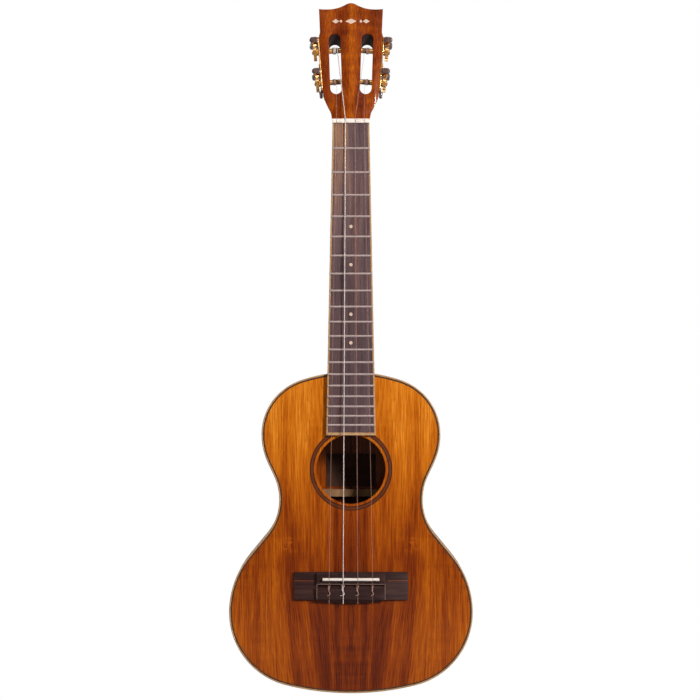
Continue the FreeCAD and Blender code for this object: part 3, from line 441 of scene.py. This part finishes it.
def metal(name, colour, shine, tarnish=0.3, metallic=1.0):
    """Polished metal with fine scratches and darker tarnish in soft patches."""
    finish = Finish(name, Metallic=metallic)
    dirt = (0.05, 0.03, 0.015)
    place = finish.place()
    cloud = finish.noise(place, 260.0, 4.0, 0.6)
    scratch = finish.noise(finish.stretched(place, (900.0, 900.0, 9000.0)), 1.0, 2.0)
    worn = cloud.step(0.45, 0.75) * tarnish
    tarnished = tuple(c * 0.5 + d for c, d in zip(colour, dirt))
    shades = finish.mix(worn, (*colour, 1.0), (*tarnished, 1.0))
    rough = shine + (scratch - 0.5) * 0.12 + worn * 0.35
    return finish.paint(shades, rough, scratch, depth=0.00001, edge=0.0002)


def roller_finish(name):
    """Gilt roller with its middle painted dark: painted shade under the wound string and a painted
    dark reflection of the room.
    """
    finish = Finish(name, Metallic=0.9)
    x, y, z = finish.split(finish.place())
    roller_middle, dark_half, bright_from = 0.0145, 0.0022, 0.0042
    cloud = finish.noise(finish.place(), 300.0, 3.0)
    off_middle = abs(abs(x) - roller_middle) + (cloud - 0.5) * 0.002
    # Painted shade and painted reflection: the roller's middle goes dark towards the string.
    middle = 1.0 - off_middle.step(dark_half, bright_from)
    shades = finish.mix(middle * 0.92, rgba(222, 168, 100), rgba(62, 34, 30))
    rough = 0.24 + cloud * 0.1 + middle * 0.15
    return finish.paint(shades, rough, cloud, depth=0.00002, edge=0.0002)


def glossy_dark(name):
    """Dark brown moulded key with faint swirls and a handled polish."""
    finish = Finish(name, Coat_Weight=0.35, Coat_Roughness=0.1, Specular_IOR_Level=0.4)
    swirl = finish.noise(finish.stretched(finish.place(), (160.0, 60.0, 160.0)), 1.0, 4.0, 0.6, 1.0)
    fine = finish.noise(finish.place(), 2600.0, 2.0)
    stops = [(0.3, rgb(50, 34, 34)), (0.55, rgb(78, 54, 48)), (0.8, rgb(112, 80, 62))]
    colour = finish.ramp(swirl, stops)
    return finish.paint(colour, 0.28 + (fine - 0.5) * 0.12, fine, depth=0.00002, edge=0.0006)


def clear_line(name, see_through=0.2):
    """Smooth see-through plastic string with a faint pinkish cast."""
    finish = Finish(name, IOR=1.45, Specular_IOR_Level=0.08, Alpha=see_through)
    cloud = finish.noise(finish.place(), 300.0, 2.0)
    colour = finish.ramp(cloud, [(0.3, rgb(150, 112, 98)), (0.7, rgb(176, 138, 124))])
    return finish.paint(colour, 0.22 + (cloud - 0.5) * 0.1, cloud, depth=0.00001, edge=0.00005)


def wound_line(name):
    """Silvery wire winding: tight rings across the string."""
    finish = Finish(name, Metallic=0.1, Specular_IOR_Level=0.3)
    x, y, z = finish.split(finish.place())
    wire_pitch = 0.00028
    turns = ((z + y * 0.6) * (2 * math.pi / wire_pitch)).math("SINE")
    cloud = finish.noise(finish.place(), 500.0, 2.0)
    colour = finish.ramp(cloud, [(0.3, rgb(166, 150, 142)), (0.7, rgb(190, 176, 168))])
    return finish.paint(colour, 0.3 + turns * 0.06, turns, depth=0.000005, edge=0.00005)


def paper(name):
    """Unprinted dark label, browned a little at random."""
    finish = Finish(name, Specular_IOR_Level=0.2)
    cloud = finish.noise(finish.place(), 90.0, 4.0)
    fibre = finish.noise(finish.place(), 1500.0, 3.0)
    colour = finish.ramp(cloud, [(0.3, rgb(52, 30, 20)), (0.7, rgb(74, 46, 32))])
    return finish.paint(colour, 0.85 + (fibre - 0.5) * 0.1, fibre, depth=0.00004, edge=0.0001)


# ------------------------------------------------------------------ meshes

def mesh_points(node):
    """A CAD node's vertices as an array."""
    mesh = nodes[node].data
    points = np.empty(3 * len(mesh.vertices))
    mesh.vertices.foreach_get("co", points)
    return points.reshape(-1, 3)


def grid_mesh(name, points):
    """Closed tube from rings: points has the shape (ring, point in the ring, 3).

    Faces join each point to the next in its ring and to the same two in the next ring;
    a fan round a middle point closes each end.
    """
    rings, count = points.shape[:2]
    index = np.arange(rings * count).reshape(rings, count)
    after = np.roll(index, -1, axis=1)
    quads = np.stack([index[:-1], after[:-1], after[1:], index[1:]], axis=-1).reshape(-1, 4)
    ends = np.stack([points[0].mean(axis=0), points[-1].mean(axis=0)])
    vertices = np.concatenate([points.reshape(-1, 3), ends])
    first, last = rings * count, rings * count + 1
    start_fan = np.stack([after[0], index[0], np.full(count, first)], axis=-1)
    end_fan = np.stack([index[-1], after[-1], np.full(count, last)], axis=-1)
    mesh = bpy.data.meshes.new(name)
    faces = quads.tolist() + start_fan.tolist() + end_fan.tolist()
    mesh.from_pydata(vertices.tolist(), [], faces)
    mesh.validate()
    return mesh


def add_piece(name, mesh, material, body, smooth=True):
    """Puts a finished mesh in the scene, riding on a body."""
    piece = bpy.data.objects.new(name, mesh)
    bpy.context.scene.collection.objects.link(piece)
    mesh.materials.clear()
    mesh.materials.append(material)
    if smooth:
        mesh.shade_smooth()
    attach(piece, body)
    return piece


def smooth_path(corners):
    """Catmull-Rom curve through the corners: each span is a cubic whose end slopes are
    half the chord between the neighbours. A span has 8 steps."""
    corners = np.asarray(corners, float)
    before, beyond = 2 * corners[0] - corners[1], 2 * corners[-1] - corners[-2]
    padded = np.concatenate([[before], corners, [beyond]])
    a, b, c, d = padded[:-3, None], padded[1:-2, None], padded[2:-1, None], padded[3:, None]
    t = np.linspace(0, 1, 8, endpoint=False)[None, :, None]
    spans = 0.5 * (2 * b + (c - a) * t + (2 * a - 5 * b + 4 * c - d) * t ** 2
                   + (3 * b - a - 3 * c + d) * t ** 3)
    return np.concatenate([spans.reshape(-1, 3), corners[-1:]])


def tube(path, radius):
    """Eight-point rings round a path, each square to it and turned as little as possible.

    The side vector is carried from ring to ring by taking away its part along the tangent.
    """
    path = np.asarray(path, float)
    tangents = np.gradient(path, axis=0)
    tangents /= np.linalg.norm(tangents, axis=1, keepdims=True)
    side = np.cross(tangents[0], (0.3, 0.5, 0.81))
    sides = []
    for tangent in tangents:
        side = side - tangent * side.dot(tangent)
        side = side / np.linalg.norm(side)
        sides.append(side)
    across = np.array(sides)
    up = np.cross(tangents, across)
    angles = np.linspace(0, 2 * math.pi, 8, endpoint=False)[None, :, None]
    circle = across[:, None] * np.cos(angles) + up[:, None] * np.sin(angles)
    return path[:, None] + circle * radius


def eased(node, material, body, width):
    """Copy of a node with merged corners, flat faces joined and its edges rounded."""
    same_point, flat_within, sharp_from = 0.000002, math.radians(0.6), math.radians(32.0)
    work = bmesh.new()
    work.from_mesh(nodes[node].data)
    bmesh.ops.remove_doubles(work, verts=work.verts, dist=same_point)
    bmesh.ops.dissolve_limit(work, angle_limit=flat_within, verts=work.verts, edges=work.edges)
    mesh = bpy.data.meshes.new(node + "_eased")
    work.to_mesh(mesh)
    work.free()
    piece = add_piece(node + "_eased", mesh, material, body)
    bevel = piece.modifiers.new("eased edges", "BEVEL")
    bevel.width = width
    bevel.segments = 2
    bevel.limit_method = "ANGLE"
    bevel.angle_limit = sharp_from
    bevel.harden_normals = True
    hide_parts(node)


joints = {joint["name"]: joint for joint in frame["record"]["behaviour"]["joints"]}
string_of = {"left_lower": "g", "left_upper": "c", "right_upper": "e", "right_lower": "a"}


def string_winding(machine, material):
    """Helix of string round a roller, ending through the roller's cross hole.

    The coil's point at angle a is reach times (cos a, sin a) in the plane square to the
    axis, and it advances one string's width a turn. Its end then goes through the axis
    and out on the other side.
    """
    roller, worm = joints[machine + "_roller_turn"], joints[machine + "_button_turn"]
    centre, axis = np.array(roller["pos_m"]), np.array(roller["axis"])
    front = np.array(worm["axis"])
    up = np.array(worm["pos_m"]) - centre
    up = up - axis * up.dot(axis)
    up /= np.linalg.norm(up)
    offset = mesh_points(machine + "_string_turns") - centre
    along = offset @ axis
    inner = np.linalg.norm(offset - along[:, None] * axis, axis=1).min()
    low, high = along.min(), along.max()
    plain_turns, coil_turns = 3, 3.25
    hole_widths, hole_back, tail_out, tail_rise, fit = 4, 0.0004, 0.0012, 0.0010, 0.96
    radius = (high - low) / (2 * plain_turns)
    reach = inner + radius
    t = np.linspace(0, 1, 96)
    angle = -math.pi / 2 + 2 * math.pi * coil_turns * t
    place = low + radius + t * 2 * radius * coil_turns
    around = np.cos(angle)[:, None] * up + np.sin(angle)[:, None] * front
    coil = centre + place[:, None] * axis + reach * around
    hole = centre + (low + 2 * hole_widths * radius - hole_back) * axis
    tail_points = [
        coil[-1],
        hole + front * (reach * 0.55) + up * (reach * 0.4),
        hole,
        hole - front * reach * 1.2,
        hole + tail_out * axis - front * reach * 1.7 + up * tail_rise,
    ]
    path = np.concatenate([coil[:-1], smooth_path(tail_points)])
    name, turns = machine + "_winding", machine + "_string_turns"
    mesh = grid_mesh(name, tube(path, radius * fit))
    piece = add_piece(name, mesh, material, machine + "_roller_set")
    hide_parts(turns)


def bridge_tie(string, material):
    """Knotted end of a string on the tie block.

    From its end on the block's top the string goes forward, once round its own incoming
    run, back over the top, under itself and out to a short cut tail. Steps across and up
    are in string widths where the string passes itself.
    """
    behind_saddle, fit = 0.006, 0.95
    points = mesh_points(string + "_string")
    block = points[points[:, 2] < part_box("saddle")[0][2] - behind_saddle]
    radius = (block[:, 0].max() - block[:, 0].min()) / 2
    x = block[:, 0].mean()
    top = block[:, 1].min() + radius
    front = block[block[:, 1] < top + radius * 1.2][:, 2].max()
    lay = 2.0 * radius
    steps = [
        (0.0, 0.0, -0.0014), (0.0, 0.0, 0.0004), (0.0002, 0.0003, 0.0018),
        (lay, 0.0014, 0.0028), (lay * 0.6, 0.0029, 0.0036), (-lay * 0.6, 0.0029, 0.0040),
        (-lay, 0.0012, 0.0034), (-lay, -lay * 0.3, 0.0018), (-lay * 1.1, -lay * 0.2, -0.0006),
        (-lay * 0.2, -lay * 1.05, -0.0022), (lay * 0.9, -lay * 0.25, -0.0036),
        (lay * 1.1, 0.0, -0.0046), (-lay * 0.1, -lay * 1.0, -0.0054),
        (-lay * 1.6, -lay * 0.1, -0.0060), (-lay * 2.8, 0.0, -0.0060),
    ]
    path = smooth_path(np.array(steps) + (x, top, front))
    mesh = grid_mesh(string + "_tie", tube(path, radius * fit))
    add_piece(string + "_tie", mesh, material, "instrument")


def tie_block_highlight_bead(material):
    """Pale bead along the tie block's front and end edges, round in section: a painted highlight on
    those top edges.

    Its middle line runs 0.1 mm inside the block's top corners, up one end, along the
    front and down the other end.
    """
    inset, short_of_rear, bead_radius = 0.0001, 0.0006, 0.00026
    behind_saddle, block_level = 0.003, -0.0070
    points = mesh_points("bridge")
    behind = points[:, 2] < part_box("saddle")[0][2] - behind_saddle
    block = points[behind & (points[:, 1] < block_level)]
    low, high = block.min(axis=0), block.max(axis=0)
    left, right = low[0] + inset, high[0] - inset
    rear, front = low[2] + short_of_rear, high[2] - inset
    level = low[1] + inset
    corners = np.array([
        (left, level, rear), (left, level, front), (right, level, front), (right, level, rear),
    ])
    share = np.linspace(0.0, 1.0, 24, endpoint=False)[:, None]
    runs = [start + (end - start) * share for start, end in zip(corners, corners[1:])]
    path = np.concatenate(runs + [corners[-1:]])
    mesh = grid_mesh("tie_block_highlight_bead", tube(path, bead_radius))
    add_piece("tie_block_highlight_bead", mesh, material, "instrument")


def inlay_leaves(material):
    """Slim pearl lozenges beside the middle one, on the headstock's face.

    Each is a low pyramid on a lozenge, let into the face, with its peak 0.12 mm above it.
    """
    middle_away, half_width, half_height = 0.0146, 0.0034, 0.0021
    sunk, rim, peak = -0.0002, 0.00004, 0.00012
    along = np.array((0.0, math.sin(head_lean), math.cos(head_lean)))
    out = np.array((0.0, -math.cos(head_lean), math.sin(head_lean)))
    outline = [(-half_width, 0.0), (0.0, -half_height), (half_width, 0.0), (0.0, half_height)]
    corners = np.array([(across, 0, 0) + along * rise for across, rise in outline])
    vertices, faces = [], []
    for x in (-middle_away, middle_away):
        base = len(vertices)
        spot = face_middle + (x, 0, 0)
        vertices += [*(spot + corners + out * sunk), *(spot + corners + out * rim), spot + out * peak]
        faces.append((base + 3, base + 2, base + 1, base))
        for k in range(4):
            after = (k + 1) % 4
            faces.append((base + k, base + after, base + 4 + after, base + 4 + k))
            faces.append((base + 4 + k, base + 4 + after, base + 8))
    mesh = bpy.data.meshes.new("inlay_leaves")
    mesh.from_pydata([tuple(v) for v in vertices], [], faces)
    add_piece("inlay_leaves", mesh, material, "instrument", smooth=False)


# ------------------------------------------------------------------ dressing

def head_plane():
    """The headstock face's lean and the place of its inlay, from the inlay's own mesh."""
    flat_within = 0.00002
    points = mesh_points("headstock_inlay")
    normal = np.array(joints["right_upper_button_turn"]["axis"])
    heights = points @ normal
    front = points[heights > heights.max() - flat_within]
    middle = front[:, 2].mean()
    spot = front[np.abs(front[:, 2] - middle).argmin()]
    lean = math.atan2(normal[2], -normal[1])
    return lean, np.array((0.0, spot[1], spot[2]))


head_lean, face_middle = head_plane()
head_points = mesh_points("neck")
head_points = head_points[head_points[:, 2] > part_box("left_upper_roller")[0][2]] - face_middle
head_depth = (head_points @ (0.0, math.cos(head_lean), -math.sin(head_lean))).max()
roller_low, roller_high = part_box("left_lower_roller"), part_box("left_upper_roller")
above_rollers, below_rollers = 0.014, 0.020
slot_span = (roller_high[1][2] + above_rollers, roller_low[0][2] - below_rollers)
slot_middle, slot_half = 0.0149, 0.0066


def dress():
    """Gives every node its finish, and adds the pieces that replace or dress nodes."""
    top = koa("koa soundboard", soundboard_shade, matched=True, shift=0.37)
    back = koa("koa back", back_shade, matched=True, shift=1.9)
    rib = rib_koa("koa rib")
    face = koa("koa headstock face", face_shade, shift=0.9, contrast=0.8)
    neck_wood = neck_wood_with_slot_stain_and_shade("neck wood")
    shades = rgb(98, 66, 42), rgb(132, 96, 64), rgb(160, 124, 88)
    inner = plain_wood("inner wood", *shades)
    board_stops = [
        (0.1, (46, 33, 34)), (0.45, (72, 55, 57)), (0.75, (96, 74, 72)), (1.0, (132, 94, 70)),
    ]
    board = rosewood("fretboard rosewood", board_stops, "z", 0.25, light_end=(-0.16, -0.02))
    bridge_stops = [
        (0.1, (24, 12, 11)), (0.45, (42, 24, 22)), (0.75, (62, 38, 33)), (1.0, (92, 56, 42)),
    ]
    saddle_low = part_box("saddle")[0][2]
    cross = rosewood("bridge rosewood", bridge_stops, "x", 0.1, stripe_at=saddle_low)
    gilt = metal("gilt plate", rgb(236, 186, 120), 0.24)
    gilt_worn = metal("gilt machine", rgb(226, 172, 108), 0.28, tarnish=0.6)
    fret_wire = metal("fret wire", rgb(158, 138, 134), 0.4, tarnish=0.15, metallic=0.35)
    clear = clear_line("clear string")
    knotted = clear_line("knotted string", see_through=0.7)
    wound = wound_line("wound string")
    key = glossy_dark("dark key")
    pale = edge_strip("pale binding", rgb(156, 120, 84), 0.8)
    shell = pearl("pearl", rgb(184, 160, 142))
    reel = roller_finish("roller gilt")
    bone_white = bone("bone")
    given = {
        "soundboard": top, "back_board": back, "left_rib": rib, "right_rib": rib,
        "headstock_veneer": face, "neck": neck_wood, "neck_block": inner, "tail_block": inner,
        "top_lining": inner, "back_lining": inner, "top_braces": inner, "back_braces": inner,
        "bridge_plate": inner, "fretboard": board, "bridge": cross, "heel_cap": cross,
        "rosette": edge_strip("rosette band", rgb(84, 36, 8), 1.0),
        "rosette_lines": edge_strip("dark line", rgb(26, 11, 6), 0.6),
        "purfling": edge_strip("purfling line", rgb(62, 40, 26), 0.6),
        "top_binding": pale, "back_binding": pale, "fretboard_binding": pale,
        "nut": bone_white, "saddle": bone_white,
        "position_dots": shell, "headstock_inlay": shell,
        "frets": fret_wire, "inside_label": paper("label paper"),
        "left_tuner_plate": gilt, "right_tuner_plate": gilt, "plate_screws": gilt_worn,
        "end_caps": key,
        "g_string": clear, "e_string": clear, "a_string": clear, "c_string": wound,
    }
    for machine in string_of:
        for kind in ("gear", "gear_screw", "worm"):
            given[machine + "_" + kind] = gilt_worn
        given[machine + "_roller"] = reel
        given[machine + "_button"] = key
        given[machine + "_string_turns"] = wound if machine == "left_upper" else clear
    for name, node in nodes.items():
        for material_slot in node.material_slots:
            material_slot.material = given[name]
    for name, width in eased_nodes:
        eased(name, given[name], "instrument", width)
    for machine, string in string_of.items():
        eased(machine + "_button", key, machine + "_button_set", 0.0007)
        string_winding(machine, wound if string == "c" else knotted)
        bridge_tie(string, wound if string == "c" else knotted)
    inlay_leaves(shell)
    # Painted highlight: a pale bead along the tie block's top edges.
    tie_block_highlight_bead(edge_strip("painted_edge_highlight", rgb(122, 96, 84), 0.8))


eased_nodes = [
    ("bridge", 0.0005), ("saddle", 0.0002), ("nut", 0.0004), ("heel_cap", 0.0004),
    ("headstock_veneer", 0.0004), ("fretboard_binding", 0.0003),
    ("top_binding", 0.0007), ("back_binding", 0.0007),
    ("left_tuner_plate", 0.0002), ("right_tuner_plate", 0.0002),
]
dress()


# ------------------------------------------------------------------ studio

def floor_finish():
    """Pale to the eye, to meet the sky; greyer to reflections, so they do not veil the wood."""
    finish = Finish("floor paint", Specular_IOR_Level=0.05, Roughness=0.9)
    cloud = finish.noise(finish.place(), 2.0, 3.0)
    shades = finish.ramp(cloud, [(0.3, (0.26, 0.26, 0.26)), (0.7, (0.30, 0.30, 0.30))])
    finish.join(shades, finish.shader.inputs["Base Color"])
    glow = finish.node("Emission", None, {"Color": (1.0, 1.0, 1.0, 1.0), "Strength": 1.0})
    rays = finish.node("LightPath")
    share = finish.node("MixShader", None, {0: rays.outputs["Is Camera Ray"]})
    finish.join(finish.shader.outputs[0], share.inputs[1])
    finish.join(glow.outputs[0], share.inputs[2])
    finish.join(share.outputs[0], finish.tree.nodes["Material Output"].inputs[0])
    return finish.material


def floor():
    """Plain pale floor below the hanging instrument."""
    size, clearance = 12.0, 0.06
    level = cad_box[0][2] - clearance
    mesh = bpy.data.meshes.new("floor")
    corners = [
        (-size, -size, level), (size, -size, level), (size, size, level), (-size, size, level),
    ]
    mesh.from_pydata(corners, [], [(0, 1, 2, 3)])
    ground = bpy.data.objects.new("floor", mesh)
    bpy.context.scene.collection.objects.link(ground)
    mesh.materials.append(floor_finish())


def soft_light(name, spot, target, size, power):
    """Large square area light aimed at a point."""
    data = bpy.data.lights.new(name, "AREA")
    data.size = size
    data.energy = power
    lamp = bpy.data.objects.new(name, data)
    bpy.context.scene.collection.objects.link(lamp)
    lamp.location = spot
    aim = Vector(target) - Vector(spot)
    lamp.rotation_euler = aim.to_track_quat("-Z", "Y").to_euler()


def studio():
    """White to the eye; its light is strong above and behind and weak in front."""
    world = bpy.data.worlds.new("studio surround")
    bpy.context.scene.world = world
    world.use_nodes = True
    bench = Bench(world.node_tree)
    x, y, z = bench.split(bench.node("TexCoord").outputs["Generated"])
    strength = 0.10 + 0.42 * z.step(-0.1, 0.8) + 0.38 * y.step(-0.25, 0.6)
    surround = world.node_tree.nodes["Background"]
    bench.join(strength, surround.inputs["Strength"])
    surround.inputs["Color"].default_value = (1, 1, 1, 1)
    seen = bench.node("Background", None, {"Color": (1, 1, 1, 1), "Strength": 1.0})
    rays = bench.node("LightPath")
    share = bench.node("MixShader", None, {0: rays.outputs["Is Camera Ray"]})
    bench.join(surround.outputs[0], share.inputs[1])
    bench.join(seen.outputs[0], share.inputs[2])
    bench.join(share.outputs[0], world.node_tree.nodes["World Output"].inputs[0])
    middle = (0.0, 0.0, -0.3)
    soft_light("key", (1.45, -2.0, 0.45), middle, 0.5, 90.0)
    soft_light("fill", (-1.9, -1.6, 0.6), middle, 1.6, 9.0)
    soft_light("head lamp", (0.2, -1.9, 2.5), (0.0, 0.0, 0.0), 0.9, 13.0)
    soft_light("back", (-0.8, 2.2, 0.8), middle, 1.2, 22.0)


def camera():
    """Long lens, level with the middle of the instrument and square to its face."""
    distance, seen_width, sensor = 4.0, 0.6672, 36.0
    across, level = -0.0009, -0.2253
    data = bpy.data.cameras.new("camera")
    data.sensor_width = sensor
    data.lens = sensor * distance / seen_width
    view = bpy.data.objects.new("camera", data)
    bpy.context.scene.collection.objects.link(view)
    view.location = (across, -distance, level)
    view.rotation_euler = (math.pi / 2, 0, 0)
    bpy.context.scene.camera = view


floor()
studio()
camera()
bpy.context.scene.view_settings.view_transform = "Standard"
